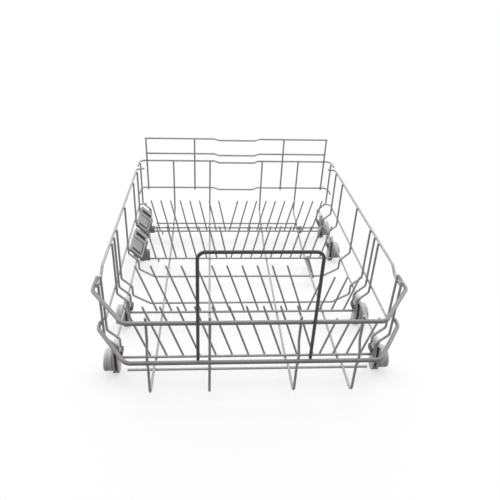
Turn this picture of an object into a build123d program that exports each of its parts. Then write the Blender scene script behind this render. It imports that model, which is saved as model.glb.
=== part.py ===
"""Lower dishwasher basket: a welded wire tray on eight rollers, with two folding tine rows.

Millimetres. +Z is up, the pull-out front faces -Y and +X is to the right of someone facing it.
The origin is on the ground, under the middle of the basket.
"""

import math
import os

from build123d import *

os.makedirs("parts", exist_ok=True)

# Coated wire radii
cross_r = 1.8
runner_r = 1.8
rear_r = 1.8
post_r = 1.8
side_rim_r = 2.5
rail_r = 2.0
front_rim_r = 3.2
handle_r = 3.0
base_r = 2.0
floor_wire_r = 1.8
pivot_r = 2.0
tine_r = 1.6

# Sides of the wire sections and turned pieces, and the largest turn at one bend facet
thin_sides = 6
thick_sides = 8
hub_sides = 8
wheel_sides = 18
skid_sides = 12
facet_turn = 46.0

# Fits
weld_gap = 0.02
running_gap = 0.08
seat_gap = 0.3
side_play = 0.5

# Basket outline
depth = 578.2
wall_x = 238.8
floor_z = 24.0
rim_top_z = 194.2
rear_rim_z = 196.7
wire_overhang = 3.0

# Stepped side profile of the cross wires and wheel loops
step_x = 219.2
step_top_z = 85.4
step_low_z = 66.0
floor_edge_z = 44.4
floor_half = 186.0
step_bend = 6.0
cross_back_in = 247.3
cross_front_in = 239.3

# Wheel loops: the rear leg's distance in from the rear wall or the lower front rim, and the gap to
# the front leg
loop_back_in = 19.8
loop_back_gap = 54.7
loop_second_in = 133.1
loop_second_gap = 34.4
loop_third_in = 213.7
loop_third_gap = 20.0
loop_front_in = 100.5
loop_front_gap = 17.6

# Rear wall
rear_lower_z = 121.7
rear_second_z = 216.3
rear_top_z = 256.0
rear_corner_bend = 13.0
rear_return = 35.0
recess_half = 44.0
recess_run = 12.0
recess_depth = 11.0
recess_bend = 5.0
post_outer_x = 224.2
post_left_x = -105.0
post_right_x = 117.5
post_tail = 4.5

# Floor runners
runner_outer_x = 158.3
runner_inner_x = 66.3
runner_back_z = 54.0
ramp_end_in = 136.3
nose_rise = 10.9
nose_step_in = 82.9
nose_step_run = 13.0
nose_bend = 4.0
runner_bend = 12.0
front_kink_z = 143.0
front_kink_run = 20.0
front_foot_z = 97.0
front_foot_run = 11.0
front_foot_back = 4.2
kink_bend = 10.0

# Front rims and handle
front_up_z = 182.6
front_low_z = 116.0
front_lean = 9.8
rim_straight_half = 189.8
rim_chamfer_run = 72.8
rim_return = 33.8
low_chamfer_run = 71.3
low_return = 14.5
rim_bend = 16.0
handle_half = 83.5
handle_top_z = 308.5
handle_bend = 11.0

# Side rims and rails
side_rim_back_in = 49.3
side_hook = 17.0
side_hook_back = 5.0
side_drop_in = 133.9
side_drop_run = 16.0
side_rim_tail = 24.0
mid_rail_z = 97.2
mid_rise_gap = 8.1
mid_rise_run = 20.0
low_rail_back_in = 13.3
low_rail_front_in = 71.9
rail_bend = 8.0
mid_rail_bend = 3.0

# Straight wires across the floor
stop_wire_in = 73.5
stop_wire_half = 211.0
back_wire_in = 57.5
back_wire_left = -202.0
nose_wire_in = 61.4
nose_wire_half = 202.0
base_overhang = 3.0

# Tines
fold_back_in = 86.5
fold_front_in = 190.0
fold_tine_height = 87.0
fold_tine_lean = 19.0
fold_left_count = 8
fold_left_start = -26.0
fold_left_pitch = 23.4
fold_right_count = 10
fold_right_start = -17.0
fold_right_pitch = 23.2
tall_tine_height = 110.0
tall_tine_lean = 37.0
tall_count = 11
tall_start = -168.0
tall_pitch = 28.4
short_tine_height = 82.0
short_tine_lean = 22.0
short_count = 4
short_start = 127.5
short_pitch = 24.3

# Folding row supports
pivot_left_x = -211.0
stub_x = -184.0
stub_length = 8.0
pivot_right_x = 217.0
bearing_wall = 2.6
clip_length = 6.0
latch_front = 52.0
latch_back = 34.0
latch_thick = 5.6
latch_slope = 34.0
latch_corner = 4.0
latch_slot_length = 24.0
latch_slot_depth = 4.2
latch_rear_slot_at = 16.5
latch_rear_slot = 12.0
latch_front_slot_at = 42.5
latch_front_slot = 7.0
latch_ridge_at = 4.5
latch_ridge = 8.0
latch_ridge_height = 1.1
latch_notch = 3.0
latch_foot = 16.0
latch_foot_lap = 5.5

# Wheels and their brackets
wheel_r = 19.0
wheel_width = 12.6
wheel_z = 27.5
wheel_rim = 3.4
wheel_web = 4.4
wheel_hub_r = 6.2
wheel_groove = 1.2
wheel_groove_width = 2.4
axle_r = 3.0
axle_head_r = 4.6
axle_head = 1.6
bracket_thick = 10.4
bracket_half = 13.0
bracket_top_z = 56.0
bracket_neck_half = 6.2
bracket_clip_wall = 2.4
bracket_head_half = 9.9
bracket_head_z = 46.5
bracket_head_height = 12.0
bracket_head_thick = 4.0
bracket_plug_half = 5.5
bracket_slot = 5.0
bracket_slot_height = 20.0
bracket_slot_depth = 6.0
bracket_mouth = 3.2
bracket_head_round = 3.6

# Places that follow from the sizes above
rear_y = depth / 2 - rear_r
front_low_y = -depth / 2 + front_rim_r
front_up_y = front_low_y + front_lean
loop_back_y = rear_y - loop_back_in
loop_second_y = rear_y - loop_second_in
loop_third_y = front_low_y + loop_third_in
loop_front_y = front_low_y + loop_front_in
cross_back_y = rear_y - cross_back_in
cross_front_y = front_low_y + cross_front_in
ramp_end_y = rear_y - ramp_end_in
nose_step_y = front_low_y + nose_step_in
nose_wire_y = front_low_y + nose_wire_in
side_rim_back_y = rear_y - side_rim_back_in
side_drop_y = front_low_y + side_drop_in
low_rail_back_y = rear_y - low_rail_back_in
low_rail_front_y = front_low_y + low_rail_front_in
stop_wire_y = rear_y - stop_wire_in
back_wire_y = rear_y - back_wire_in
fold_back_y = rear_y - fold_back_in
fold_front_y = rear_y - fold_front_in
rear_front_y = rear_y - rear_r - runner_r - weld_gap
post_y = rear_y - rear_r - post_r - weld_gap
runner_flat_z = floor_z + cross_r + runner_r + weld_gap
nose_z = runner_flat_z + nose_rise
base_z = runner_flat_z + runner_r + base_r + weld_gap
loop_low_z = base_z + base_r + cross_r + weld_gap
side_rim_x = wall_x + cross_r + side_rim_r + weld_gap
mid_rail_x = wall_x + cross_r + rail_r + weld_gap
front_up_x = side_rim_x + side_rim_r + front_rim_r + weld_gap
front_low_x = wall_x + cross_r + front_rim_r + weld_gap
rear_side_x = wall_x + cross_r + rear_r + weld_gap
wire_top_z = rim_top_z + wire_overhang
ramp_slope = (runner_back_z - runner_flat_z) / (rear_front_y - ramp_end_y)
ramp_angle = math.atan(ramp_slope)

# The low rail nests under the step, in the bend of the cross wires
ledge_angle = math.atan2(step_top_z - step_low_z, wall_x - step_x)
half_turn = (math.pi / 2 + ledge_angle) / 2
nest_angle = ledge_angle - half_turn
nest_turn = math.pi - 2 * half_turn
nest_chords = math.ceil(math.degrees(nest_turn) / facet_turn)
nest_sag = step_bend * (1 - math.cos(nest_turn / (2 * nest_chords)))
nest_depth = step_bend / math.sin(half_turn) - step_bend + nest_sag + cross_r + rail_r + weld_gap
low_rail_x = step_x + nest_depth * math.cos(nest_angle)
low_rail_z = step_low_z + nest_depth * math.sin(nest_angle)


def section(radius):
    """A wire's cross-section, with its corners on the round wire's surface."""
    return RegularPolygon(radius, thick_sides if radius > rail_r + weld_gap else thin_sides)


def bore(radius, sides):
    """A hole whose flats clear a round wire of this radius."""
    return RegularPolygon(radius, sides, major_radius=False)


def straight(start, end, radius):
    """One straight wire."""
    start = Vector(*start)
    span = Vector(*end) - start
    return extrude(Plane(start, z_dir=span) * section(radius), span.length)


def rounded(points, bends):
    """The wire's route with each corner turned through short chords of its bend."""
    points = [Vector(*point) for point in points]
    route = [points[0]]
    for index, bend in enumerate(bends, 1):
        corner = points[index]
        back = (points[index - 1] - corner).normalized()
        ahead = (points[index + 1] - corner).normalized()
        turn = 180 - back.get_angle(ahead)
        inward = (back + ahead).normalized()
        centre = corner + inward * (bend / math.cos(math.radians(turn / 2)))
        axis = back.cross(ahead)
        start = corner + back * (bend * math.tan(math.radians(turn / 2))) - centre
        chords = math.ceil(turn / facet_turn)
        turning = Axis((0, 0, 0), axis)
        for step in range(chords + 1):
            route.append(centre + start.rotate(turning, -turn * step / chords))
    return route + [points[-1]]


def bent(points, radius, bends):
    """One wire bent at each inner point, to one radius or to a list of them."""
    if not isinstance(bends, list):
        bends = [bends] * (len(points) - 2)
    path = Polyline(*rounded(points, bends))
    return sweep(Plane(path @ 0, z_dir=path % 0) * section(radius), path=path, transition=Transition.RIGHT)


def mirrored(points):
    """The same route on the other side of the basket."""
    return [(-x, y, z) for x, y, z in points]


def save(name, *solids):
    """Write one node."""
    shape = solids[0] if len(solids) == 1 else Compound(children=list(solids))
    export_step(shape, f"parts/{name}.step")


def ramp_z(y, radius):
    """Centre height of a wire that lies across the runners' ramp at y."""
    lift = (runner_r + radius) / math.cos(ramp_angle)
    return runner_flat_z + ramp_slope * (y - ramp_end_y) + lift


def side_profile(y):
    """The stepped wall on the right, from the rim down to the bottom of the step."""
    return [(wall_x, y, wire_top_z), (wall_x, y, step_top_z), (step_x, y, step_low_z)]


def cross_wire(y):
    """A whole cross wire, from rim to rim under the runners."""
    right = side_profile(y) + [(step_x, y, floor_edge_z), (floor_half, y, floor_z)]
    return bent(mirrored(right) + right[::-1], cross_r, step_bend)


def wheel_loop(back_y, gap):
    """Two side wires that are one wire, turned under a wheel station."""
    front_y = back_y - gap
    low = [(step_x, back_y, loop_low_z), (step_x, front_y, loop_low_z)]
    return side_profile(back_y) + low + side_profile(front_y)[::-1]


def short_loop(back_y, gap):
    """The same with a front leg that stops at the low rail."""
    front_y = back_y - gap
    low = [(step_x, back_y, loop_low_z), (step_x, front_y, loop_low_z)]
    return side_profile(back_y) + low + [(step_x, front_y, low_rail_z)]


def rear_wire(z):
    """A wire of the rear wall, set in at the middle and turned forward at both ends."""
    inset_y = rear_y - recess_depth
    half = [
        (recess_half, inset_y, z),
        (recess_half + recess_run, rear_y, z),
        (rear_side_x, rear_y, z),
        (rear_side_x, rear_y - rear_return, z),
    ]
    bends = [rear_corner_bend, recess_bend, recess_bend]
    return bent(mirrored(half)[::-1] + half, rear_r, bends + bends[::-1])


def guard_wire(z):
    """A wire of the raised guard, which ends at the outer posts."""
    inset_y = rear_y - recess_depth
    end_x = post_outer_x + wire_overhang
    half = [(recess_half, inset_y, z), (recess_half + recess_run, rear_y, z), (end_x, rear_y, z)]
    return bent(mirrored(half)[::-1] + half, rear_r, recess_bend)


def runner(x):
    """A floor runner, from the rear rim along the floor and up to the upper front rim."""
    front_y = front_up_y + front_rim_r + runner_r + weld_gap
    kink_y = front_low_y + front_rim_r + runner_r + weld_gap
    foot_y = kink_y + front_foot_back
    points = [
        (x, rear_front_y, rear_rim_z + wire_overhang),
        (x, rear_front_y, runner_back_z),
        (x, ramp_end_y, runner_flat_z),
        (x, nose_step_y, runner_flat_z),
        (x, nose_step_y - nose_step_run, nose_z),
        (x, foot_y, nose_z),
        (x, foot_y, front_foot_z),
        (x, kink_y, front_foot_z + front_foot_run),
        (x, kink_y, front_kink_z - front_kink_run),
        (x, front_y, front_kink_z),
        (x, front_y, front_up_z + front_rim_r + wire_overhang),
    ]
    bends = [runner_bend, runner_bend, nose_bend, nose_bend, runner_bend]
    return bent(points, runner_r, bends + [kink_bend] * 2 + [kink_bend] * 2)


def front_rim(z, y, end_x, chamfer_run, back_run):
    """A front rim: straight across, cut off at the corners and turned back along the sides."""
    corner_y = y + chamfer_run
    half = [(rim_straight_half, y, z), (end_x, corner_y, z), (end_x, corner_y + back_run, z)]
    return bent(mirrored(half)[::-1] + half, front_rim_r, rim_bend)


def tines(count, start, pitch, y, z, height, lean):
    """A run of tines that stand behind a wire at y, all leaning the same way."""
    feet = [start + pitch * index for index in range(count)]
    return [straight((x, y, z), (x + lean, y, z + height), tine_r) for x in feet]


def folding_row(y, z):
    """A pivot wire with a stub under it and its two groups of tines, leaning apart."""
    tine_y = y + pivot_r + tine_r + weld_gap
    foot_z = z - pivot_r
    place = (tine_y, foot_z, fold_tine_height)
    left = tines(fold_left_count, fold_left_start, -fold_left_pitch, *place, -fold_tine_lean)
    right = tines(fold_right_count, fold_right_start, fold_right_pitch, *place, fold_tine_lean)
    stub_top = z - pivot_r - weld_gap
    stub = straight((stub_x, y, stub_top), (stub_x, y, stub_top - stub_length), tine_r)
    return [straight((pivot_left_x, y, z), (pivot_right_x, y, z), pivot_r), stub] + left + right


def fixed_tines(y):
    """The tall and short tines of a fixed row, welded behind its base wire."""
    tine_y = y + base_r + tine_r + weld_gap
    foot_z = base_z - base_r
    tall = tines(tall_count, tall_start, tall_pitch, tine_y, foot_z, tall_tine_height, -tall_tine_lean)
    short = tines(short_count, short_start, short_pitch, tine_y, foot_z, short_tine_height, short_tine_lean)
    return tall + short


def wheel():
    """A roller with a grooved tread, a dished outer face and a hub, turning on the X axis."""
    half = wheel_width / 2
    lane = Plane.YZ.offset(-half)
    tread = extrude(lane * RegularPolygon(wheel_r, wheel_sides), wheel_width)
    groove = Plane.YZ.offset(-wheel_groove_width / 2) * (
        RegularPolygon(2 * wheel_r, thick_sides) - RegularPolygon(wheel_r - wheel_groove, wheel_sides)
    )
    tread -= extrude(groove, wheel_groove_width)
    dish = Plane.YZ.offset(half) * (
        RegularPolygon(wheel_r - wheel_rim, wheel_sides) - RegularPolygon(wheel_hub_r, hub_sides)
    )
    tread -= extrude(dish, wheel_web - wheel_width)
    return tread - extrude(lane * bore(axle_r + running_gap, hub_sides), wheel_width)


def bracket():
    """A right-hand wheel bracket at y = 0: plate and skid, rail clip, locking head and axle."""
    inner_x = step_x + cross_r + seat_gap
    outer_x = inner_x + bracket_thick
    flat_down = 180 / skid_sides
    skid = RegularPolygon(bracket_half, skid_sides, major_radius=False, rotation=flat_down)
    skid = Pos(0, bracket_half) * skid
    web_height = bracket_top_z - bracket_half
    web = Pos(0, bracket_half + web_height / 2) * Rectangle(2 * bracket_half, web_height)
    slot = Pos(0, wheel_z) * Rectangle(bracket_slot, bracket_slot_height)
    body = extrude(Plane.YZ.offset(inner_x) * (skid + web), bracket_thick)
    body -= extrude(Plane.YZ.offset(inner_x) * slot, bracket_slot_depth)
    clip_r = rail_r + weld_gap + bracket_clip_wall
    rail = Plane.XZ.offset(-bracket_neck_half) * Pos(low_rail_x, low_rail_z)
    clip = extrude(rail * RegularPolygon(clip_r, hub_sides, major_radius=False), 2 * bracket_neck_half)
    neck = Pos(low_rail_x, 0, (bracket_top_z + low_rail_z) / 2) * Box(
        2 * clip_r, 2 * bracket_neck_half, low_rail_z - bracket_top_z
    )
    body += clip + neck
    body -= extrude(rail * bore(rail_r + weld_gap, hub_sides), 2 * bracket_neck_half)
    body -= Pos(low_rail_x, 0, low_rail_z + clip_r) * Box(bracket_mouth, depth, 2 * clip_r)
    head_x = step_x - cross_r - seat_gap
    plug = Pos((head_x + inner_x) / 2, 0, bracket_head_z) * Box(
        inner_x - head_x, 2 * bracket_plug_half, bracket_head_height
    )
    head = Pos(head_x - bracket_head_thick / 2, 0, bracket_head_z) * Box(
        bracket_head_thick, 2 * bracket_head_half, bracket_head_height
    )
    head = chamfer(head.edges().filter_by(Axis.X), bracket_head_round)
    axle_out = outer_x + side_play + wheel_width + side_play
    axle = Plane.YZ.offset(outer_x) * Pos(0, wheel_z) * RegularPolygon(axle_r, hub_sides)
    cap = Plane.YZ.offset(axle_out) * Pos(0, wheel_z) * RegularPolygon(axle_head_r, hub_sides)
    body += plug + head
    body += extrude(axle, axle_out - outer_x) + extrude(cap, axle_head)
    return body


def bearing_clip(pivot_y, pivot_z, hold_y, hold_z, hold_r):
    """A clip beside the right outer runner: a ring round a pivot wire and a ring round a fixed wire."""
    near_x = runner_outer_x + runner_r + seat_gap
    face = Plane.YZ.offset(near_x)
    ring_r = pivot_r + running_gap + bearing_wall
    hold_ring_r = hold_r + weld_gap + bearing_wall
    span = Vector(hold_y - pivot_y, hold_z - pivot_z)
    middle = ((pivot_y + hold_y) / 2, (pivot_z + hold_z) / 2)
    turn = math.degrees(math.atan2(span.Y, span.X))
    arm = Pos(*middle) * Rot(0, 0, turn) * Rectangle(span.length, 2 * bearing_wall)
    outline = arm + Pos(pivot_y, pivot_z) * RegularPolygon(ring_r, skid_sides)
    outline += Pos(hold_y, hold_z) * RegularPolygon(hold_ring_r, skid_sides)
    outline -= Pos(pivot_y, pivot_z) * bore(pivot_r + running_gap, hub_sides)
    outline -= Pos(hold_y, hold_z) * bore(hold_r + weld_gap, hub_sides)
    return extrude(face * outline, clip_length)


def latch(pivot_y, pivot_z):
    """The moulded latch on the left step: a sloping slotted plate and a foot that holds the pivot wire."""
    latch_length = latch_front + latch_back
    middle_y = pivot_y + latch_back - latch_length / 2
    lift = cross_r + seat_gap + latch_thick / 2
    middle_x = (step_x + wall_x) / 2
    middle_z = step_low_z + (middle_x - step_x) * math.tan(ledge_angle)
    normal = (math.sin(ledge_angle), 0, math.cos(ledge_angle))
    centre = Vector(-middle_x, middle_y, middle_z) + Vector(*normal) * lift
    deck = Plane(centre, x_dir=(math.cos(ledge_angle), 0, -math.sin(ledge_angle)), z_dir=normal)
    face = Rectangle(latch_slope, latch_length)
    face = chamfer(face.vertices(), latch_corner)
    plate = extrude(face, latch_thick / 2, both=True)
    top = Plane.XY.offset(latch_thick / 2)
    to_pivot = pivot_y - middle_y
    slots = [(latch_rear_slot_at, latch_rear_slot), (-latch_front_slot_at, latch_front_slot)]
    for slot_at, slot_width in slots:
        slot = top * Pos(0, to_pivot + slot_at) * Rectangle(latch_slot_length, slot_width)
        plate -= extrude(slot, -latch_slot_depth)
    ridge = top * Pos(0, to_pivot + latch_ridge_at) * Rectangle(latch_slot_length, latch_ridge)
    plate += extrude(ridge, latch_ridge_height)
    body = deck * plate
    notch_x = wall_x - cross_r - latch_notch + latch_slope / 2
    notch = Box(latch_slope, 2 * (cross_r + 2 * seat_gap), 2 * latch_slope)
    for wire_y in (loop_second_y, loop_back_y - loop_back_gap):
        if abs(wire_y - middle_y) < latch_length / 2:
            body -= Pos(-notch_x, wire_y, centre.Z) * notch
    foot_x = centre.X + latch_slope / 2 * math.cos(ledge_angle) - latch_foot_lap
    ring_r = pivot_r + running_gap + bearing_wall
    inner_edge = latch_slope / 2 * math.sin(ledge_angle) - latch_thick / 2 * math.cos(ledge_angle)
    foot_top = centre.Z - inner_edge
    post = Plane.YZ.offset(foot_x) * (
        Pos(pivot_y, (pivot_z + foot_top) / 2) * Rectangle(2 * ring_r, foot_top - pivot_z)
        + Pos(pivot_y, pivot_z) * RegularPolygon(ring_r, skid_sides)
    )
    body += extrude(post, latch_foot)
    ring = Plane.YZ.offset(foot_x - latch_foot) * Pos(pivot_y, pivot_z)
    hole = ring * bore(pivot_r + running_gap, hub_sides)
    return body - extrude(hole, 3 * latch_foot)


# Front rims, handle and the straight wire under the nose
save("front_upper_rim", front_rim(front_up_z, front_up_y, front_up_x, rim_chamfer_run, rim_return))
save("front_lower_rim", front_rim(front_low_z, front_low_y, front_low_x, low_chamfer_run, low_return))
handle_y = front_up_y - front_rim_r - handle_r - weld_gap
handle_foot_z = front_low_z + front_rim_r + weld_gap
save(
    "front_handle",
    bent(
        [
            (-handle_half, handle_y, handle_foot_z),
            (-handle_half, handle_y, handle_top_z),
            (handle_half, handle_y, handle_top_z),
            (handle_half, handle_y, handle_foot_z),
        ],
        handle_r,
        handle_bend,
    ),
)
nose_wire_z = nose_z - runner_r - floor_wire_r - weld_gap
nose_wire = [(-nose_wire_half, nose_wire_y, nose_wire_z), (nose_wire_half, nose_wire_y, nose_wire_z)]
save("front_floor_wire", straight(*nose_wire, floor_wire_r))

# Side rims, mid rails and low rails
rim_front_y = front_up_y + rim_chamfer_run
side_rim = [
    (side_rim_x - side_hook, side_rim_back_y + side_hook_back, rim_top_z),
    (side_rim_x, side_rim_back_y, rim_top_z),
    (side_rim_x, side_drop_y, rim_top_z),
    (side_rim_x, side_drop_y - side_drop_run, front_up_z),
    (side_rim_x, rim_front_y + rim_return - side_rim_tail, front_up_z),
]
low_rim_end_y = front_low_y + low_chamfer_run + low_return
mid_rise_y = low_rim_end_y + mid_rise_gap + mid_rise_run
mid_rail = [
    (mid_rail_x - side_hook, side_rim_back_y + side_hook_back, mid_rail_z),
    (mid_rail_x, side_rim_back_y, mid_rail_z),
    (mid_rail_x, mid_rise_y, mid_rail_z),
    (mid_rail_x, mid_rise_y - mid_rise_run, front_low_z),
    (mid_rail_x, low_rim_end_y + weld_gap, front_low_z),
]
low_rail = [(low_rail_x, low_rail_back_y, low_rail_z), (low_rail_x, low_rail_front_y, low_rail_z)]
save("side_rim_left", bent(mirrored(side_rim), side_rim_r, rail_bend))
save("side_rim_right", bent(side_rim, side_rim_r, rail_bend))
save("mid_rail_left", bent(mirrored(mid_rail), rail_r, mid_rail_bend))
save("mid_rail_right", bent(mid_rail, rail_r, mid_rail_bend))
save("low_rail_left", straight(*mirrored(low_rail), rail_r))
save("low_rail_right", straight(*low_rail, rail_r))

# Rear wall
save("rear_rim", rear_wire(rear_rim_z))
save("rear_lower_wire", rear_wire(rear_lower_z))
save("rear_second_wire", guard_wire(rear_second_z))
save("rear_top_wire", guard_wire(rear_top_z))
post_low_z = rear_lower_z - post_tail
post_high_z = rear_top_z + wire_overhang
posts = [(-post_outer_x, "outer_left"), (post_left_x, "inner_left")]
posts += [(post_right_x, "inner_right"), (post_outer_x, "outer_right")]
for post_x, side in posts:
    save(f"rear_post_{side}", straight((post_x, post_y, post_low_z), (post_x, post_y, post_high_z), post_r))

# Floor runners and whole cross wires
runners = [(-runner_outer_x, "outer_left"), (-runner_inner_x, "inner_left")]
runners += [(runner_inner_x, "inner_right"), (runner_outer_x, "outer_right")]
for runner_x, side in runners:
    save(f"floor_runner_{side}", runner(runner_x))
save("cross_wire_back", cross_wire(cross_back_y))
save("cross_wire_front", cross_wire(cross_front_y))

# Wheel loops, brackets and wheels
loops = {
    "back": (loop_back_y, loop_back_gap),
    "second": (loop_second_y, loop_second_gap),
    "third": (loop_third_y, loop_third_gap),
    "front": (loop_front_y, loop_front_gap),
}
right_bracket = bracket()
left_bracket = mirror(right_bracket, Plane.YZ)
roller = wheel()
wheel_x = step_x + cross_r + seat_gap + bracket_thick + side_play + wheel_width / 2
for place, (loop_y, loop_gap) in loops.items():
    route = short_loop(loop_y, loop_gap) if place == "second" else wheel_loop(loop_y, loop_gap)
    station_y = loop_y - loop_gap / 2
    save(f"wheel_loop_{place}_left", bent(mirrored(route), cross_r, step_bend))
    save(f"wheel_loop_{place}_right", bent(route, cross_r, step_bend))
    save(f"wheel_bracket_{place}_left", Pos(0, station_y, 0) * left_bracket)
    save(f"wheel_bracket_{place}_right", Pos(0, station_y, 0) * right_bracket)
    save(f"wheel_{place}_left", Pos(-wheel_x, station_y, wheel_z) * mirror(roller, Plane.YZ))
    save(f"wheel_{place}_right", Pos(wheel_x, station_y, wheel_z) * roller)

# Straight wires on the ramp, behind the rear folding row
stop_z = ramp_z(stop_wire_y, floor_wire_r) + weld_gap
back_z = ramp_z(back_wire_y, floor_wire_r) + weld_gap
back_right_x = runner_outer_x + runner_r
stop_wire = [(-stop_wire_half, stop_wire_y, stop_z), (stop_wire_half, stop_wire_y, stop_z)]
back_wire = [(back_wire_left, back_wire_y, back_z), (back_right_x, back_wire_y, back_z)]
save("stop_wire", straight(*stop_wire, floor_wire_r))
save("back_floor_wire", straight(*back_wire, floor_wire_r))

# Fixed tine rows
base_half = step_x + base_overhang
for place in ("third", "front"):
    loop_y, loop_gap = loops[place]
    base_y = loop_y - loop_gap / 2
    base = straight((-base_half, base_y, base_z), (base_half, base_y, base_z), base_r)
    save(f"tine_row_{place}", base, *fixed_tines(base_y))

# Folding tine rows with their latches and bearing clips
fold_back_z = ramp_z(fold_back_y, pivot_r) + seat_gap
fold_front_z = runner_flat_z + runner_r + pivot_r + seat_gap
save("folding_row_back", *folding_row(fold_back_y, fold_back_z))
save("folding_row_front", *folding_row(fold_front_y, fold_front_z))
save("row_latch_back", latch(fold_back_y, fold_back_z))
save("row_latch_front", latch(fold_front_y, fold_front_z))
save("bearing_clip_back", bearing_clip(fold_back_y, fold_back_z, stop_wire_y, stop_z, floor_wire_r))
save("bearing_clip_front", bearing_clip(fold_front_y, fold_front_z, cross_back_y, floor_z, cross_r))
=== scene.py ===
import math

import bpy
from mathutils import Matrix, Vector


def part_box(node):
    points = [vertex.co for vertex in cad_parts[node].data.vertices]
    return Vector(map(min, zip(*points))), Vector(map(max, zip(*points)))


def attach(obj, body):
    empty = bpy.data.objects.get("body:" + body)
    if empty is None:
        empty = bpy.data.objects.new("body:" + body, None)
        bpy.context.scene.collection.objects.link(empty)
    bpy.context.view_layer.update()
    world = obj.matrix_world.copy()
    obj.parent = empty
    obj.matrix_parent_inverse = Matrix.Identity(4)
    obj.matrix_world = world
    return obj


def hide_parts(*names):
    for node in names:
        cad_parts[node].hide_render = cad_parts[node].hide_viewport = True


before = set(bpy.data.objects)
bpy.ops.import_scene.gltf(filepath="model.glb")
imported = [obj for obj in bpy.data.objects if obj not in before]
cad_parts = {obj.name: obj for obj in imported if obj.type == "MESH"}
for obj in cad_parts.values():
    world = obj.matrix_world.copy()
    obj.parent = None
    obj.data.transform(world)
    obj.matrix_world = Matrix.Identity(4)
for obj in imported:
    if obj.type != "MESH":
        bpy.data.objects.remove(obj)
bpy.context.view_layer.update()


# Camera
# The basket is seen from the front and a little from its left, looking down into it. The picture is
# cut from a larger one, so the lens is shifted.

MM = 0.001
eye = Vector((-68.8, -769.05, 640.2)) * MM
tilt = 0.4523
yaw = 0.0559
roll = 0.0301
ahead = Vector((math.sin(yaw) * math.cos(tilt), math.cos(yaw) * math.cos(tilt), -math.sin(tilt)))
level = Vector((math.cos(yaw), -math.sin(yaw), 0.0))
over = level.cross(ahead)
right = math.cos(roll) * level + math.sin(roll) * over
upward = math.cos(roll) * over - math.sin(roll) * level
bpy.ops.object.camera_add()
camera = bpy.context.object
camera.matrix_world = Matrix(
    (
        (right.x, upward.x, -ahead.x, eye.x),
        (right.y, upward.y, -ahead.y, eye.y),
        (right.z, upward.z, -ahead.z, eye.z),
        (0.0, 0.0, 0.0, 1.0),
    )
)
camera.data.sensor_width = 36.0
camera.data.lens = 32.44
camera.data.shift_x = 0.0367
camera.data.shift_y = -0.1281
bpy.context.scene.camera = camera
bpy.context.scene.view_settings.view_transform = "Standard"


# Studio
# A white sweep under an overhead softbox and one softbox at each side. To the camera and in
# reflections the surroundings are white, and the floor keeps a faint shadow under the wheels.

def linear(hex_colour):
    """An sRGB hex value as linear red, green, blue and alpha."""
    parts = [int(hex_colour[i : i + 2], 16) / 255 for i in (1, 3, 5)]
    return [p / 12.92 if p <= 0.04045 else ((p + 0.055) / 1.055) ** 2.4 for p in parts] + [1.0]


def node(tree, kind, links=None, **settings):
    """Add one shader node, with its settings, socket values and incoming links."""
    made = tree.nodes.new(kind)
    for key, value in settings.items():
        setattr(made, key, value)
    for socket, value in (links or {}).items():
        if isinstance(value, bpy.types.NodeSocket):
            tree.links.new(value, made.inputs[socket])
        else:
            made.inputs[socket].default_value = value
    return made


def white_rays(tree):
    """A socket that is 1 for rays that see the surroundings and 0 for rays that light the object."""
    path = node(tree, "ShaderNodeLightPath")
    shiny = node(
        tree,
        "ShaderNodeMath",
        {0: path.outputs["Is Camera Ray"], 1: path.outputs["Is Glossy Ray"]},
        operation="MAXIMUM",
    )
    return node(
        tree,
        "ShaderNodeMath",
        {0: shiny.outputs[0], 1: path.outputs["Is Transmission Ray"]},
        operation="MAXIMUM",
    ).outputs[0]


world = bpy.data.worlds.new("studio_air")
bpy.context.scene.world = world
world.use_nodes = True
world.node_tree.nodes.clear()
white = linear("#ffffff")
fill_level = 0.3
seen_level = 1.0
fill_light = node(world.node_tree, "ShaderNodeBackground", {"Color": white, "Strength": fill_level})
seen_white = node(world.node_tree, "ShaderNodeBackground", {"Color": white, "Strength": seen_level})
air = node(
    world.node_tree,
    "ShaderNodeMixShader",
    {0: white_rays(world.node_tree), 1: fill_light.outputs[0], 2: seen_white.outputs[0]},
)
node(world.node_tree, "ShaderNodeOutputWorld", {"Surface": air.outputs[0]})

bpy.ops.object.select_all(action="DESELECT")
floor_size = 8.0
floor_drop = 0.5 * MM
bpy.ops.mesh.primitive_plane_add(size=floor_size, location=(0.0, 0.0, -floor_drop))
floor = bpy.context.object
floor.name = "studio_floor"
# Matt board: to the eye it is plain white, lit like paper near the basket so that the shadow shows.
# To the rays that light the basket it is a dark grey that throws little up at the wires.
floor_paint = bpy.data.materials.new("matt_white_floor")
floor_paint.use_nodes = True
floor_tree = floor_paint.node_tree
floor_tree.nodes.clear()
paper_share = 0.4
paper_reach = 0.3
paper_end = 0.6
floor_matt = node(floor_tree, "ShaderNodeBsdfDiffuse", {"Color": linear("#565655")})
floor_glow = node(floor_tree, "ShaderNodeEmission", {"Color": white, "Strength": seen_level})
floor_pale = node(floor_tree, "ShaderNodeBsdfDiffuse", {"Color": white})
floor_place = node(floor_tree, "ShaderNodeTexCoord").outputs["Object"]
floor_reach = node(floor_tree, "ShaderNodeVectorMath", {0: floor_place}, operation="LENGTH")
floor_shade = node(
    floor_tree,
    "ShaderNodeMapRange",
    {0: floor_reach.outputs["Value"], 1: paper_reach, 2: paper_end, 3: paper_share, 4: 0.0},
)
floor_white = node(
    floor_tree,
    "ShaderNodeMixShader",
    {0: floor_shade.outputs[0], 1: floor_glow.outputs[0], 2: floor_pale.outputs[0]},
)
floor_mix = node(
    floor_tree,
    "ShaderNodeMixShader",
    {0: white_rays(floor_tree), 1: floor_matt.outputs[0], 2: floor_white.outputs[0]},
)
node(floor_tree, "ShaderNodeOutputMaterial", {"Surface": floor_mix.outputs[0]})
floor.data.materials.append(floor_paint)

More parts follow.
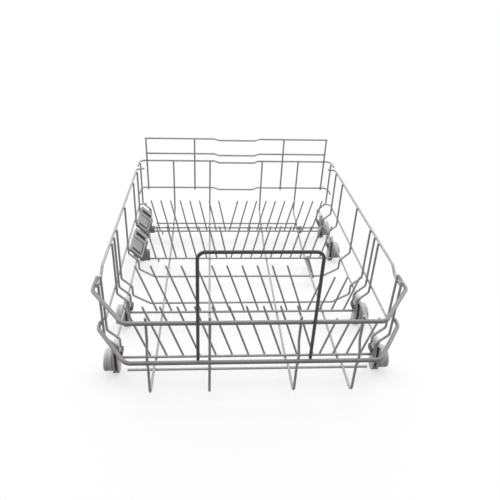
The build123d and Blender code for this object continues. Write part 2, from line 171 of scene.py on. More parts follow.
lamp_aim = Vector((0.0, 0.0, 0.1))
for lamp_name, place, size, watts in (
    ("overhead_softbox", (0.0, 0.3, 1.5), 1.6, 17.0),
    ("left_softbox", (-1.6, 0.5, 0.95), 1.8, 17.0),
    ("right_softbox", (1.6, 0.5, 0.95), 1.8, 17.0),
):
    bpy.ops.object.light_add(type="AREA", location=place)
    lamp = bpy.context.object
    lamp.name = lamp_name
    lamp.data.size = size
    lamp.data.energy = watts
    lamp.visible_camera = False
    lamp.rotation_mode = "QUATERNION"
    lamp.rotation_quaternion = (lamp_aim - Vector(place)).to_track_quat("-Z", "Y")


# Rear wall
# Four drawn steel wires across the back, set forward a little at the middle, with four upright posts
# spot-welded to their inner side. All are powder coated in grey polyamide.

def coated_wire(name, hex_colour, dark_hex, roughness):
    """Steel wire under a fused polyamide powder coat: satin, with a soft orange peel."""
    made = bpy.data.materials.new(name)
    made.use_nodes = True
    tree = made.node_tree
    tree.nodes.clear()
    place = node(tree, "ShaderNodeTexCoord").outputs["Object"]
    # The tone drifts over a few centimetres of wire; the orange peel only shows close up
    cloud_mm = 40.0
    peel_mm = 2.0
    polyamide_ior = 1.53
    cloud = node(tree, "ShaderNodeTexNoise", {"Vector": place, "Scale": 1 / (cloud_mm * MM), "Detail": 2.0})
    peel = node(tree, "ShaderNodeTexNoise", {"Vector": place, "Scale": 1 / (peel_mm * MM), "Detail": 1.0})
    tone = node(
        tree,
        "ShaderNodeMix",
        {0: cloud.outputs[0], 6: linear(dark_hex), 7: linear(hex_colour)},
        data_type="RGBA",
    )
    sheen = node(
        tree,
        "ShaderNodeMapRange",
        {0: peel.outputs[0], 3: roughness - 0.06, 4: roughness + 0.08},
    )
    relief = node(tree, "ShaderNodeBump", {"Height": peel.outputs[0], "Strength": 0.12, "Distance": 0.0002})
    coat = node(
        tree,
        "ShaderNodeBsdfPrincipled",
        {
            "Base Color": tone.outputs[2],
            "Roughness": sheen.outputs[0],
            "Normal": relief.outputs[0],
            "IOR": polyamide_ior,
        },
    )
    node(tree, "ShaderNodeOutputMaterial", {"Surface": coat.outputs[0]})
    return made


# Gives the eye an even satin grey that is pale on top of a wire and dark under it
grey_coat = coated_wire("grey_polyamide_coat", "#b6b6b8", "#aaaaac", 0.38)


def finish_piece(piece, material, body, nodes):
    """Give a finished piece its material and its body, and hide the CAD nodes that it stands for."""
    piece.data.materials.clear()
    piece.data.materials.append(material)
    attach(piece, body)
    if nodes:
        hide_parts(*nodes)


bend_steps = 7
section_steps = 5
smooth_angle = math.radians(40)


def bend_wire(name, route, radius, bends):
    """Draw a wire run by run, round each corner to its bend and give the line a round section."""
    points = [Vector(point) * MM for point in route]
    bpy.ops.object.select_all(action="DESELECT")
    bpy.ops.mesh.primitive_plane_add(size=0.01, location=points[0])
    wire = bpy.context.object
    wire.name = name
    bpy.ops.object.transform_apply(location=True)
    bpy.ops.object.mode_set(mode="EDIT")
    bpy.ops.mesh.select_mode(type="VERT")
    bpy.ops.mesh.merge(type="CENTER")
    for start, end in zip(points, points[1:]):
        bpy.ops.mesh.extrude_vertices_move(TRANSFORM_OT_translate={"value": end - start})
    for corner, bend in zip(range(1, len(points) - 1), bends):
        back = points[corner - 1] - points[corner]
        on = points[corner + 1] - points[corner]
        half_turn = (math.pi - back.angle(on)) / 2
        bpy.ops.mesh.select_all(action="DESELECT")
        bpy.ops.object.mode_set(mode="OBJECT")
        nearest = min(wire.data.vertices, key=lambda v: (v.co - points[corner]).length)
        nearest.select = True
        bpy.ops.object.mode_set(mode="EDIT")
        bpy.ops.mesh.bevel(
            offset_type="OFFSET",
            offset=bend * MM * math.tan(half_turn),
            segments=bend_steps,
            profile=0.5,
            affect="VERTICES",
        )
    bpy.ops.object.mode_set(mode="OBJECT")
    bpy.ops.object.convert(target="CURVE")
    wire = bpy.context.object
    wire.data.bevel_depth = radius * MM
    wire.data.bevel_resolution = section_steps
    wire.data.use_fill_caps = True
    bpy.ops.object.convert(target="MESH")
    wire = bpy.context.object
    bpy.ops.object.shade_smooth_by_angle(angle=smooth_angle)
    return wire


def mirrored(route):
    """The same route on the other side of the basket."""
    return [(-x, y, z) for x, y, z in route]


rear_y = 286.65
recess_y = 275.65
recess_half = 44
step_half = 56
corner_x = 242.42
return_y = 252.3
guard_half = 227.2
rear_r = 2.2
step_bend = 5
corner_bend = 13
for rear_node, height in (("rear_rim", 196.7), ("rear_lower_wire", 121.7)):
    half = [
        (recess_half, recess_y, height),
        (step_half, rear_y, height),
        (corner_x, rear_y, height),
        (corner_x, return_y, height),
    ]
    bends = [corner_bend] + [step_bend] * 4 + [corner_bend]
    wire = bend_wire(rear_node + "_round", mirrored(half)[::-1] + half, rear_r, bends)
    finish_piece(wire, grey_coat, "basket", [rear_node])
for rear_node, height in (("rear_second_wire", 216.3), ("rear_top_wire", 256.0)):
    half = [(recess_half, recess_y, height), (step_half, rear_y, height), (guard_half, rear_y, height)]
    wire = bend_wire(rear_node + "_round", mirrored(half)[::-1] + half, rear_r, [step_bend] * 4)
    finish_piece(wire, grey_coat, "basket", [rear_node])


# The coat rounds a cut end by this share of the wire's radius
end_share = 0.55
end_steps = 3
bar_sides = 14
same_place = 1e-6


def round_bar(name, cad_node, radius):
    """A straight round wire along its CAD node's longest way, with its cut ends rounded over."""
    low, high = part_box(cad_node)
    span = high - low
    way = max(range(3), key=lambda i: span[i])
    turn = [(0.0, math.pi / 2, 0.0), (math.pi / 2, 0.0, 0.0), (0.0, 0.0, 0.0)][way]
    bpy.ops.object.select_all(action="DESELECT")
    bpy.ops.mesh.primitive_cylinder_add(
        vertices=bar_sides, radius=radius * MM, depth=span[way], location=(low + high) / 2, rotation=turn
    )
    bar = bpy.context.object
    bar.name = name
    bpy.ops.object.transform_apply(location=True, rotation=True)
    round_ends(bar, way, radius * end_share)
    return bar


def round_ends(bar, way, ease):
    """Round over the two end rims of a bar that lies along one axis."""
    top = max(v.co[way] for v in bar.data.vertices)
    base = min(v.co[way] for v in bar.data.vertices)
    bpy.ops.object.mode_set(mode="EDIT")
    bpy.ops.mesh.select_mode(type="EDGE")
    bpy.ops.mesh.select_all(action="DESELECT")
    bpy.ops.object.mode_set(mode="OBJECT")
    for edge in bar.data.edges:
        ends = [bar.data.vertices[i].co[way] for i in edge.vertices]
        is_level = max(ends) - min(ends) < same_place
        edge.select = is_level and (ends[0] > top - same_place or ends[0] < base + same_place)
    bpy.ops.object.mode_set(mode="EDIT")
    bpy.ops.mesh.bevel(offset=ease * MM, segments=end_steps, affect="EDGES")
    bpy.ops.object.mode_set(mode="OBJECT")
    bpy.ops.object.shade_smooth_by_angle(angle=smooth_angle)


thin_r = 2.1
for post in ("outer_left", "inner_left", "inner_right", "outer_right"):
    bar = round_bar("rear_post_round_" + post, "rear_post_" + post, thin_r)
    finish_piece(bar, grey_coat, "basket", ["rear_post_" + post])


# Floor
# Four runners of coated steel wire go from the rear rim down, along the floor and up to the front
# rims. Two whole cross wires, stepped at the sides, are welded under them, and straight wires lie
# across them.

runner_bends = [12, 12, 4, 4, 12, 10, 10, 10, 10]
for runner_x, side in (
    (-158.3, "outer_left"),
    (-66.3, "inner_left"),
    (66.3, "inner_right"),
    (158.3, "outer_right"),
):
    route = [
        (runner_x, 283.68, 199.7),
        (runner_x, 283.68, 54.0),
        (runner_x, 151.0, 27.62),
        (runner_x, -203.0, 27.62),
        (runner_x, -216.0, 38.52),
        (runner_x, -276.68, 38.52),
        (runner_x, -276.68, 97.0),
        (runner_x, -280.88, 108.0),
        (runner_x, -280.88, 123.0),
        (runner_x, -271.08, 143.0),
        (runner_x, -271.08, 188.8),
    ]
    wire = bend_wire("floor_runner_round_" + side, route, thin_r, runner_bends)
    finish_piece(wire, grey_coat, "basket", ["floor_runner_" + side])

step_x = 219.2
step_top_z = 66.0
wall_x = 238.8
wall_foot_z = 85.4
wall_top_z = 197.2
side_bend = 6
for cross_y, place in ((40.0, "back"), (-46.6, "front")):
    half = [
        (186.0, cross_y, 24.0),
        (step_x, cross_y, 44.4),
        (step_x, cross_y, step_top_z),
        (wall_x, cross_y, wall_foot_z),
        (wall_x, cross_y, wall_top_z),
    ]
    wire = bend_wire("cross_wire_round_" + place, mirrored(half)[::-1] + half, thin_r, [side_bend] * 8)
    finish_piece(wire, grey_coat, "basket", ["cross_wire_" + place])

for flat_node in ("stop_wire", "back_floor_wire", "front_floor_wire"):
    bar = round_bar(flat_node + "_round", flat_node, thin_r)
    finish_piece(bar, grey_coat, "basket", [flat_node])


# Sides
# Loops of coated wire at the wheel stations, the low and mid rails that are welded along them, and
# the thicker side rims at the top, which drop to meet the front rim.

loop_base_z = 35.26
low_rail_z = 64.16
for place, back_leg, leg_gap in (
    ("back", 267.5, 54.7),
    ("second", 154.2, 34.4),
    ("third", -72.2, 20.0),
    ("front", -185.4, 17.6),
):
    front_leg = back_leg - leg_gap
    route = [
        (wall_x, back_leg, wall_top_z),
        (wall_x, back_leg, wall_foot_z),
        (step_x, back_leg, step_top_z),
        (step_x, back_leg, loop_base_z),
        (step_x, front_leg, loop_base_z),
        (step_x, front_leg, low_rail_z),
    ]
    bends = [side_bend] * 4
    if place != "second":
        route[-1] = (step_x, front_leg, step_top_z)
        route += [(wall_x, front_leg, wall_foot_z), (wall_x, front_leg, wall_top_z)]
        bends = [side_bend] * 6
    for side, line in (("left", mirrored(route)), ("right", route)):
        wire = bend_wire(f"wheel_loop_round_{place}_{side}", line, thin_r, bends)
        finish_piece(wire, grey_coat, "basket", [f"wheel_loop_{place}_{side}"])

side_rim = [
    (226.12, 243.0, 194.2),
    (243.12, 238.0, 194.2),
    (243.12, -152.0, 194.2),
    (243.12, -168.0, 182.6),
    (243.12, -193.5, 182.6),
]
mid_rail = [
    (225.62, 243.0, 97.2),
    (242.62, 238.0, 97.2),
    (242.62, -172.0, 97.2),
    (242.62, -192.0, 116.0),
    (242.62, -200.08, 116.0),
]
side_rim_r = 2.5
side_rim_bend = 8
mid_rail_r = 2.15
mid_rail_bend = 3
low_rail_r = 2.0
for side, rim_line, rail_line in (
    ("left", mirrored(side_rim), mirrored(mid_rail)),
    ("right", side_rim, mid_rail),
):
    wire = bend_wire("side_rim_round_" + side, rim_line, side_rim_r, [side_rim_bend] * 3)
    finish_piece(wire, grey_coat, "basket", ["side_rim_" + side])
    wire = bend_wire("mid_rail_round_" + side, rail_line, mid_rail_r, [mid_rail_bend] * 3)
    finish_piece(wire, grey_coat, "basket", ["mid_rail_" + side])
    bar = round_bar("low_rail_round_" + side, "low_rail_" + side, low_rail_r)
    finish_piece(bar, grey_coat, "basket", ["low_rail_" + side])


# Front
# Two thick rims of coated steel wire with cut-off corners, and the upright handle that stands on the
# lower one and is welded to the front of the upper one.

# Painted shade: the rims have the same grey coat as the thin wires; this darker, glossier grey paints the
# shade on them
shade_darkened_coat = coated_wire("shade_darkened_polyamide_coat", "#8f8b8c", "#848081", 0.24)
front_lines = {
    "front_upper_rim": [(189.8, -276.1, 182.6), (248.84, -203.3, 182.6), (248.84, -169.5, 182.6)],
    "front_lower_rim": [(189.8, -285.9, 116.0), (243.82, -214.6, 116.0), (243.82, -200.1, 116.0)],
}
rim_r = 3.2
rim_bend = 16
for rim_node, half in front_lines.items():
    wire = bend_wire(rim_node + "_round", mirrored(half)[::-1] + half, rim_r, [rim_bend] * 4)
    finish_piece(wire, shade_darkened_coat, "basket", [rim_node])
handle_y = -282.32
handle_half = 83.5
handle_foot_z = 119.2
handle_top_z = 307.9
handle_r = 2.5
handle_bend = 11
handle_half_route = [(handle_half, handle_y, handle_top_z), (handle_half, handle_y, handle_foot_z)]
handle_route = mirrored(handle_half_route)[::-1] + handle_half_route
wire = bend_wire("front_handle_round", handle_route, handle_r, [handle_bend] * 2)
# Painted shade: the handle has the same grey coat as the other wires; near black paints the shade on it,
# with a soft sheen along its top
handle_coat = coated_wire("shade_darkened_handle_coat", "#2a292a", "#222122", 0.3)
finish_piece(wire, handle_coat, "basket", ["front_handle"])


# Tine rows
# Each row is a straight wire with tines welded behind it, the tips rounded by the coat. Two rows are
# fixed; the two at the back turn on their wire and fold forward.

tine_sides = 12


def tine(name, foot, height, lean, radius):
    """One leaning tine with a rounded tip."""
    top = Vector(foot) + Vector((lean, 0.0, height))
    middle = (Vector(foot) + top) / 2 * MM
    bpy.ops.object.select_all(action="DESELECT")
    length = math.hypot(lean, height)
    bpy.ops.mesh.primitive_cylinder_add(vertices=tine_sides, radius=radius * MM, depth=length * MM)
    made = bpy.context.object
    made.name = name
    round_ends(made, 2, radius * end_share)
    made.rotation_euler = (0.0, math.atan2(lean, height), 0.0)
    made.location = middle
    bpy.ops.object.transform_apply(location=True, rotation=True)
    return made


def join_parts(name, parts):
    """Join the parts of one moulding or one welded row into one piece."""
    bpy.ops.object.select_all(action="DESELECT")
    for part in parts:
        part.select_set(True)
    bpy.context.view_layer.objects.active = parts[0]
    bpy.ops.object.join()
    parts[0].name = name
    return parts[0]


def rod(name, start, end, radius):
    """A straight wire between two places, with rounded ends."""
    line = (Vector(end) - Vector(start)) * MM
    bpy.ops.object.select_all(action="DESELECT")
    bpy.ops.mesh.primitive_cylinder_add(vertices=bar_sides, radius=radius * MM, depth=line.length)
    made = bpy.context.object
    made.name = name
    round_ends(made, 2, radius * end_share)
    made.rotation_mode = "QUATERNION"
    made.rotation_quaternion = line.to_track_quat("Z", "Y")
    made.location = (Vector(start) + Vector(end)) / 2 * MM
    bpy.ops.object.transform_apply(location=True, rotation=True)
    return made


tine_r = 1.85
tine_behind = 3.62
foot_drop = 2.0
base_z = 31.44
base_half = 222.2
base_r = 2.2
for row_node, base_y in (("tine_row_third", -82.2), ("tine_row_front", -194.2)):
    parts = [rod(row_node + "_base", (-base_half, base_y, base_z), (base_half, base_y, base_z), base_r)]
    for name, count, first_x, pitch, height, lean in (
        ("tall_tine", 11, -168.0, 28.4, 110.0, -37.0),
        ("short_tine", 4, 127.5, 24.3, 82.0, 22.0),
    ):
        for index in range(count):
            foot = (first_x + pitch * index, base_y + tine_behind, base_z - foot_drop)
            parts.append(tine(name, foot, height, lean, tine_r))
    finish_piece(join_parts(row_node + "_round", parts), grey_coat, "basket", [row_node])

pivots = {"back": (200.8, 41.696), "front": (97.3, 31.72)}
pivot_left = -211.0
pivot_right = 217.0
pivot_r = 2.0
stub_x = -184.0
stub_r = 1.6
stub_top = 2.02
stub_end = 10.02
fold_height = 87.0
for place, (pivot_y, pivot_z) in pivots.items():
    row_node = "folding_row_" + place
    parts = [
        rod(row_node + "_pivot", (pivot_left, pivot_y, pivot_z), (pivot_right, pivot_y, pivot_z), pivot_r),
        rod("stub", (stub_x, pivot_y, pivot_z - stub_top), (stub_x, pivot_y, pivot_z - stub_end), stub_r),
    ]
    for name, count, first_x, pitch, lean in (
        ("left_tine", 8, -26.0, -23.4, -19.0),
        ("right_tine", 10, -17.0, 23.2, 19.0),
    ):
        for index in range(count):
            foot = (first_x + pitch * index, pivot_y + tine_behind, pivot_z - foot_drop)
            parts.append(tine(name, foot, fold_height, lean, tine_r))
    finish_piece(join_parts(row_node + "_round", parts), grey_coat, row_node, [row_node])


# Wheels
# Moulded acetal rollers with a grooved tread, a dished and ribbed outer face and a hub. Each is
# pushed over its axle and held by the axle's head.

def moulded(name, hex_colour, dark_hex, roughness):
    """Injection-moulded plastic: a fine spark-eroded grain and a little tone between shots."""
    made = bpy.data.materials.new(name)
    made.use_nodes = True
    tree = made.node_tree
    tree.nodes.clear()
    place = node(tree, "ShaderNodeTexCoord").outputs["Object"]
    # Per metre: tone over about 30 mm; the real grain of 0.1 mm is drawn at about 0.7 mm so that it shows
    drift_scale = 33.0
    grain_scale = 1400.0
    acetal_ior = 1.48
    drift = node(tree, "ShaderNodeTexNoise", {"Vector": place, "Scale": drift_scale, "Detail": 2.0})
    grain = node(tree, "ShaderNodeTexNoise", {"Vector": place, "Scale": grain_scale, "Detail": 2.0})
    tone = node(
        tree,
        "ShaderNodeMix",
        {0: drift.outputs[0], 6: linear(dark_hex), 7: linear(hex_colour)},
        data_type="RGBA",
    )
    rough = node(tree, "ShaderNodeMapRange", {0: grain.outputs[0], 3: roughness - 0.07, 4: roughness + 0.07})
    relief = node(tree, "ShaderNodeBump", {"Height": grain.outputs[0], "Strength": 0.15, "Distance": 0.0002})
    plastic = node(
        tree,
        "ShaderNodeBsdfPrincipled",
        {
            "Base Color": tone.outputs[2],
            "Roughness": rough.outputs[0],
            "Normal": relief.outputs[0],
            "IOR": acetal_ior,
        },
    )
    node(tree, "ShaderNodeOutputMaterial", {"Surface": plastic.outputs[0]})
    return made


def chain(name, points):
    """A closed line of edges through the given places, ready in edit mode."""
    places = [Vector(point) * MM for point in points]
    bpy.ops.object.select_all(action="DESELECT")
    bpy.ops.mesh.primitive_plane_add(size=0.01, location=places[0])
    made = bpy.context.object
    made.name = name
    bpy.ops.object.transform_apply(location=True)
    bpy.ops.object.mode_set(mode="EDIT")
    bpy.ops.mesh.select_mode(type="VERT")
    bpy.ops.mesh.merge(type="CENTER")
    for start, end in zip(places, places[1:] + places[:1]):
        bpy.ops.mesh.extrude_vertices_move(TRANSFORM_OT_translate={"value": end - start})
    bpy.ops.mesh.select_all(action="SELECT")
    bpy.ops.mesh.remove_doubles(threshold=same_place)
    return made


def block(name, low, high, ease):
    """A moulded block between two corners, its edges rounded."""
    low = Vector(low) * MM
    high = Vector(high) * MM
    bpy.ops.object.select_all(action="DESELECT")
    bpy.ops.mesh.primitive_cube_add(size=1.0, location=(low + high) / 2)
    made = bpy.context.object
    made.name = name
    made.scale = high - low
    bpy.ops.object.transform_apply(location=True, scale=True)
    bpy.ops.object.mode_set(mode="EDIT")
    bpy.ops.mesh.select_all(action="SELECT")
    bpy.ops.mesh.bevel(offset=ease * MM, segments=2, affect="EDGES")
    bpy.ops.object.mode_set(mode="OBJECT")
    bpy.ops.object.shade_smooth_by_angle(angle=smooth_angle)
    return made


def copies(piece, names, shifts, signs):
    """Copy a piece of the right side along Y, turning every left one over to its side."""
    made = []
    for name, shift, sign in zip(names, shifts, signs):
        bpy.ops.object.select_all(action="DESELECT")
        piece.select_set(True)
        bpy.context.view_layer.objects.active = piece
        bpy.ops.object.duplicate(linked=False)
        copy = bpy.context.object
        copy.name = name
        copy.location = (0.0, shift * MM, 0.0)
        copy.scale = (sign, 1.0, 1.0)
        bpy.ops.object.transform_apply(location=True, scale=True)
        bpy.ops.object.mode_set(mode="EDIT")
        bpy.ops.mesh.select_all(action="SELECT")
        bpy.ops.mesh.normals_make_consistent(inside=False)
        bpy.ops.object.mode_set(mode="OBJECT")
        made.append(copy)
    bpy.data.objects.remove(piece)
    return made


# Gives the eye a pale, slightly warm grey with the dull sheen of a roller
wheel_moulding = moulded("grey_acetal", "#dedadb", "#d2cecf", 0.42)

wheel_x = 238.5
wheel_z = 27.5
tread_steps = 48
rib_count = 6
turned_angle = math.radians(35)
wheel_profile = [
    (-6.3, 3.2),
    (-6.3, 17.9),
    (-5.9, 18.6),
    (-5.2, 18.9),
    (-1.5, 18.95),
    (-1.2, 17.9),
    (1.2, 17.9),
    (1.5, 18.95),
    (5.2, 18.9),
    (5.9, 18.6),
    (6.3, 17.9),
    (6.3, 16.0),
    (5.7, 15.6),
    (-1.7, 15.3),
    (-1.9, 15.1),
    (-1.9, 6.7),
    (-1.7, 6.5),
    (5.9, 6.2),
    (6.3, 5.8),
    (6.3, 3.2),
]
roller = chain("roller", [(wheel_x + across, 0.0, wheel_z + out) for across, out in wheel_profile])
bpy.ops.mesh.spin(
    steps=tread_steps, angle=math.tau, center=Vector((wheel_x, 0.0, wheel_z)) * MM, axis=(1.0, 0.0, 0.0)
)
bpy.ops.mesh.select_all(action="SELECT")
bpy.ops.mesh.remove_doubles(threshold=same_place)
bpy.ops.object.mode_set(mode="OBJECT")
bpy.ops.object.shade_smooth_by_angle(angle=turned_angle)
ribs = [roller]
for index in range(rib_count):
    rib = block("rib", (wheel_x - 2.1, -0.8, wheel_z + 6.0), (wheel_x + 3.6, 0.8, wheel_z + 15.6), 0.3)
    bpy.ops.object.mode_set(mode="EDIT")
    bpy.ops.mesh.select_all(action="SELECT")
    bpy.ops.transform.rotate(
        value=math.tau * index / rib_count, orient_axis="X", center_override=(0.0, 0.0, wheel_z * MM)
    )
    bpy.ops.object.mode_set(mode="OBJECT")
    ribs.append(rib)
roller = join_parts("roller", ribs)
stations = {"back": 240.15, "second": 137.0, "third": -82.2, "front": -194.2}
places = [f"{place}_{side}" for place in stations for side in ("left", "right")]
along = [y for y in stations.values() for side in ("left", "right")]
signs = [-1.0, 1.0] * len(stations)
for copy, place in zip(copies(roller, ["roller_" + place for place in places], along, signs), places):
    finish_piece(copy, wheel_moulding, "wheel_" + place, ["wheel_" + place])


# Wheel brackets
# An acetal moulding at each station: two cheeks on a skid, a snap ring over the low rail, a plug
# through the wire loop and the wheel's axle, and a locking head snapped on the plug. A black block
# between the cheeks is painted shade in their slot, and the head's darker grey paints the shade on it.

round_steps = 28
skid_steps = 12


def ring(name, centre, axis, hole_r, outer_r, half_length, start, sweep):
    """A moulded ring round a wire along one axis; a sweep below a full turn leaves a snap mouth."""
    middle = Vector(centre)
    way = Vector((1.0, 0.0, 0.0)) if axis == "X" else Vector((0.0, 1.0, 0.0))
    out = Matrix.Rotation(start, 3, way) @ Vector((0.0, 0.0, 1.0))
    corners = [(-half_length, hole_r), (-half_length, outer_r - 0.4), (-half_length + 0.4, outer_r)]
    corners += [(-at, r) for at, r in reversed(corners)]
    made = chain(name, [middle + way * at + out * r for at, r in corners])
    bpy.ops.mesh.edge_face_add()
    bpy.ops.mesh.spin(steps=round_steps, angle=sweep, center=middle * MM, axis=way)
    bpy.ops.mesh.select_all(action="SELECT")
    bpy.ops.mesh.remove_doubles(threshold=same_place)
    bpy.ops.mesh.normals_make_consistent(inside=False)
    bpy.ops.object.mode_set(mode="OBJECT")
    bpy.ops.object.shade_smooth_by_angle(angle=turned_angle)
    return made


def cheek(name, x0, x1, half, shoulder_z, top_half, top_z, ease):
    """A flat cheek with a round skid below and sloping shoulders above."""
    arc = [math.pi + math.pi * step / skid_steps for step in range(skid_steps + 1)]
    outline = [(half * math.cos(a), half + half * math.sin(a)) for a in arc]
    outline += [(half, shoulder_z), (top_half, top_z), (-top_half, top_z), (-half, shoulder_z)]
    outline = [(y, max(z, 0.0)) for y, z in outline]
    made = chain(name, [(x0, y, z) for y, z in outline])
    bpy.ops.mesh.edge_face_add()
    bpy.ops.mesh.extrude_region_move(TRANSFORM_OT_translate={"value": ((x1 - x0) * MM, 0.0, 0.0)})
    bpy.ops.mesh.select_all(action="SELECT")
    bpy.ops.mesh.normals_make_consistent(inside=False)
    bpy.ops.mesh.bevel(offset=ease * MM, segments=2, affect="EDGES", clamp_overlap=True)
    bpy.ops.object.mode_set(mode="OBJECT")
    bpy.ops.object.shade_smooth_by_angle(angle=smooth_angle)
    return made


def pin(name, x0, x1, z, radius, ease):
    """A round pin along X on the station's middle."""
    bpy.ops.object.select_all(action="DESELECT")
    bpy.ops.mesh.primitive_cylinder_add(
        vertices=round_steps,
        radius=radius * MM,
        depth=(x1 - x0) * MM,
        location=((x0 + x1) / 2 * MM, 0.0, z * MM),
        rotation=(0.0, math.pi / 2, 0.0),
    )
    made = bpy.context.object
    made.name = name
    bpy.ops.object.transform_apply(location=True, rotation=True)
    round_ends(made, 0, ease)
    return made


# Gives the eye the palest grey of the basket, so that the stations read from afar
pale_moulding = moulded("pale_grey_acetal", "#e4e2e2", "#d8d6d6", 0.4)
# Flat black, painted shade: blocks of it stand in slots and gaps where there is only shadow
painted_shade_moulding = moulded("painted_shade_black", "#1c1c1e", "#151517", 0.5)
# Painted shade: the locking head's darker grey paints the shade on its front beside the pale cheeks
head_moulding = moulded("shade_darkened_head_acetal", "#6d6c6b", "#605f5e", 0.4)
low_rail_x = 223.615
mouth_start = math.radians(24)
mouth_sweep = math.radians(312)
parts = [
    cheek("outer_cheek", 228.2, 231.7, 13.0, 36.0, 6.2, 56.0, 0.5),
    cheek("inner_cheek", 221.3, 223.9, 11.0, 33.0, 5.8, 56.0, 0.4),
    block("skid", (221.8, -6.0, 0.4), (231.2, 6.0, 7.0), 0.6),
    block("neck", (219.3, -6.2, 54.0), (227.9, 6.2, 60.6), 0.6),
    ring("rail_ring", (low_rail_x, 0.0, low_rail_z), "Y", 2.03, 4.4, 6.2, mouth_start, mouth_sweep),
    block("plug", (217.0, -5.0, 42.0), (222.0, 5.0, 51.0), 0.4),
    pin("axle", 231.5, 245.4, wheel_z, 2.95, 0.3),
    pin("axle_head", 245.3, 246.9, wheel_z, 4.55, 0.5),
]
bracket = join_parts("bracket", parts)
for copy, place in zip(copies(bracket, ["bracket_" + place for place in places], along, signs), places):
    finish_piece(copy, pale_moulding, "basket", ["wheel_bracket_" + place])
# Painted shade: a black block fills the slot between the cheeks, where there is only shadow
core = block("core", (223.8, -6.5, 6.5), (228.3, 6.5, 52.0), 0.4)
for copy, place in zip(copies(core, ["bracket_core_" + place for place in places], along, signs), places):
    finish_piece(copy, painted_shade_moulding, "basket", [])
# Painted shade: the head's darker grey stands for the shade on its front
head = block("locking_head", (213.1, -7.4, 41.6), (217.1, 7.4, 51.4), 1.5)
for copy, place in zip(copies(head, ["bracket_head_" + place for place in places], along, signs), places):
    finish_piece(copy, head_moulding, "basket", [])


# Row latches
# Polypropylene mouldings on the sloping left step hold the left end of each folding row, and a foot
# reaches down to the row's wire. Black blocks in the two slots and the grooves of the plate are
# painted shade.

# Gives the eye a flat mid grey face between the dark slots
latch_moulding = moulded("mid_grey_polypropylene", "#a8a7a7", "#999898", 0.36)
ledge = math.atan2(19.4, 19.6)
deck_x = -225.555
deck_z = 79.19
latch_half_slope = 17.0
latch_half_length = 43.0
latch_half_thick = 2.8


def pick_top(piece, u0, u1, v0, v1, level):
    """Select the faces of a lying plate that lie inside a rectangle of its top."""
    bpy.ops.object.mode_set(mode="EDIT")
    bpy.ops.mesh.select_mode(type="FACE")
    bpy.ops.mesh.select_all(action="DESELECT")
    bpy.ops.object.mode_set(mode="OBJECT")
    for face in piece.data.polygons:
        u, v, w = face.center / MM
        face.select = u0 < u < u1 and v0 < v < v1 and abs(w - level) < 0.01
    bpy.ops.object.mode_set(mode="EDIT")


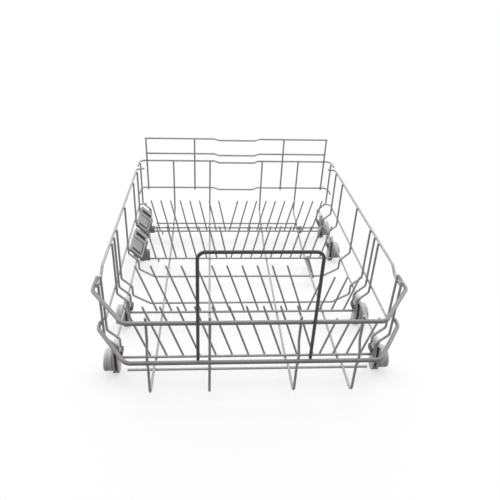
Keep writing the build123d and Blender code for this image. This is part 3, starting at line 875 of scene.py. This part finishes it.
for place, (pivot_y, pivot_z) in pivots.items():
    bpy.ops.object.select_all(action="DESELECT")
    bpy.ops.mesh.primitive_cube_add(size=1.0)
    plate = bpy.context.object
    plate.name = "latch_plate"
    plate.scale = Vector((2 * latch_half_slope, 2 * latch_half_length, 2 * latch_half_thick)) * MM
    bpy.ops.object.transform_apply(scale=True)
    bpy.ops.object.mode_set(mode="EDIT")
    # Cuts across the plate at the slots, the lip, the rib and the face, and along it at their ends
    for v in (-37.0, -30.0, 5.5, 7.6, 9.5, 17.5, 19.5, 31.5):
        bpy.ops.mesh.select_all(action="SELECT")
        bpy.ops.mesh.bisect(plane_co=(0.0, v * MM, 0.0), plane_no=(0.0, 1.0, 0.0))
    for u in (-13.0, 11.0, 13.0):
        bpy.ops.mesh.select_all(action="SELECT")
        bpy.ops.mesh.bisect(plane_co=(u * MM, 0.0, 0.0), plane_no=(1.0, 0.0, 0.0))
    for u0, u1, v0, v1, rise in (
        (-13.0, 13.0, 19.5, 31.5, -4.4),
        (-13.0, 11.0, -37.0, -30.0, -4.4),
        (-13.0, 11.0, 5.5, 7.6, -2.0),
        (11.0, 13.0, -30.0, 7.6, -2.0),
        (-17.0, 17.0, 31.5, 43.0, 1.1),
        (-13.0, 13.0, 9.5, 17.5, 1.1),
        (13.0, 17.0, -30.0, 31.5, 1.1),
    ):
        pick_top(plate, u0, u1, v0, v1, latch_half_thick)
        bpy.ops.mesh.extrude_region_move(TRANSFORM_OT_translate={"value": (0.0, 0.0, rise * MM)})
    bpy.ops.object.mode_set(mode="OBJECT")
    soft = plate.modifiers.new("soft_edges", "BEVEL")
    soft.width = 0.45 * MM
    soft.segments = 2
    soft.limit_method = "ANGLE"
    bpy.ops.object.modifier_apply(modifier=soft.name)
    # Painted shade: black blocks fill the two slots and the grooves by the lip and along the side, where
    # there is only shadow
    rear_slot_shade = block("rear_slot_shade", (-12.9, 19.6, -1.9), (12.9, 31.4, 2.3), 0.1)
    front_slot_shade = block("front_slot_shade", (-12.9, -36.9, -1.9), (10.9, -30.1, 2.3), 0.1)
    lip_groove_shade = block("lip_groove_shade", (-12.9, 5.6, 0.6), (12.9, 7.5, 2.2), 0.1)
    side_groove_shade = block("side_groove_shade", (11.1, -29.9, 0.6), (12.9, 5.7, 2.2), 0.1)
    dark_parts = [rear_slot_shade, front_slot_shade, lip_groove_shade, side_groove_shade]
    for part in [plate] + dark_parts:
        part.rotation_euler = (0.0, ledge, 0.0)
        part.location = Vector((deck_x, pivot_y - 9.0, deck_z)) * MM
    bpy.ops.object.select_all(action="DESELECT")
    for part in [plate] + dark_parts:
        part.select_set(True)
    bpy.context.view_layer.objects.active = plate
    bpy.ops.object.transform_apply(location=True, rotation=True)
    bpy.ops.object.shade_smooth_by_angle(angle=smooth_angle)
    foot = block("foot", (-218.9, pivot_y - 4.6, pivot_z + 2.4), (-203.1, pivot_y + 4.6, 55.0), 0.7)
    neck = block("neck", (-218.9, pivot_y - 4.6, 54.0), (-209.6, pivot_y + 4.6, 68.6), 0.7)
    cup = ring("cup", (pivot_left, pivot_y, pivot_z), "X", 2.1, 4.65, 7.9, 0.0, math.tau)
    latch = join_parts("row_latch_dressed_" + place, [plate, foot, neck, cup])
    finish_piece(latch, latch_moulding, "basket", ["row_latch_" + place])
    dark = join_parts("row_latch_slot_shade_" + place, dark_parts)
    finish_piece(dark, painted_shade_moulding, "basket", [])


# Bearing clips
# Small acetal clips beside the right outer runner: one ring turns round the row's wire, the other is
# snapped on a fixed wire. On the long front clip two arms join the rings, and a black strip between
# them is painted shade in the gap.

# Gives the eye a plain grey close to that of the wires that the clip holds
clip_moulding = moulded("mid_grey_acetal", "#999899", "#8d8c8d", 0.36)
clip_x = 163.4
clip_half = 2.95
pivot_hole_r = 2.09
hold_hole_r = 2.12


def lay_along(part, run, middle):
    """Lay a part that was made along Y on the line between a clip's two rings."""
    part.rotation_euler = (math.atan2(run.z, run.y), 0.0, 0.0)
    part.location = middle * MM
    bpy.ops.object.transform_apply(location=True, rotation=True)
    return part


for place, hold, has_arms in (("back", (213.8, 43.8), False), ("front", (40.0, 24.0), True)):
    pivot = pivots[place]
    run = Vector((0.0, hold[0] - pivot[0], hold[1] - pivot[1]))
    middle = Vector((clip_x, (pivot[0] + hold[0]) / 2, (pivot[1] + hold[1]) / 2))
    parts = [
        ring("pivot_ring", (clip_x, *pivot), "X", pivot_hole_r, 4.65, clip_half, 0.0, math.tau),
        ring("hold_ring", (clip_x, *hold), "X", hold_hole_r, 4.4, clip_half, 0.0, math.tau),
    ]
    arm_half = run.length / 2 - 4.2
    for at in (-1.9, 1.9) if has_arms else ():
        arm = block("arm", (at - 0.95, -arm_half, -2.55), (at + 0.95, arm_half, 2.55), 0.4)
        parts.append(lay_along(arm, run, middle))
    clip = join_parts("bearing_clip_dressed_" + place, parts)
    finish_piece(clip, clip_moulding, "basket", ["bearing_clip_" + place])
    if has_arms:
        # Painted shade: a black strip fills the gap between the arms, where there is only shadow
        gap_shade_low = (-0.93, 4.0 - arm_half, -2.3)
        gap_shade_high = (0.93, arm_half - 9.0, 2.3)
        gap_shade = lay_along(block("bearing_clip_gap_shade_" + place, gap_shade_low, gap_shade_high, 0.1), run, middle)
        finish_piece(gap_shade, painted_shade_moulding, "basket", [])
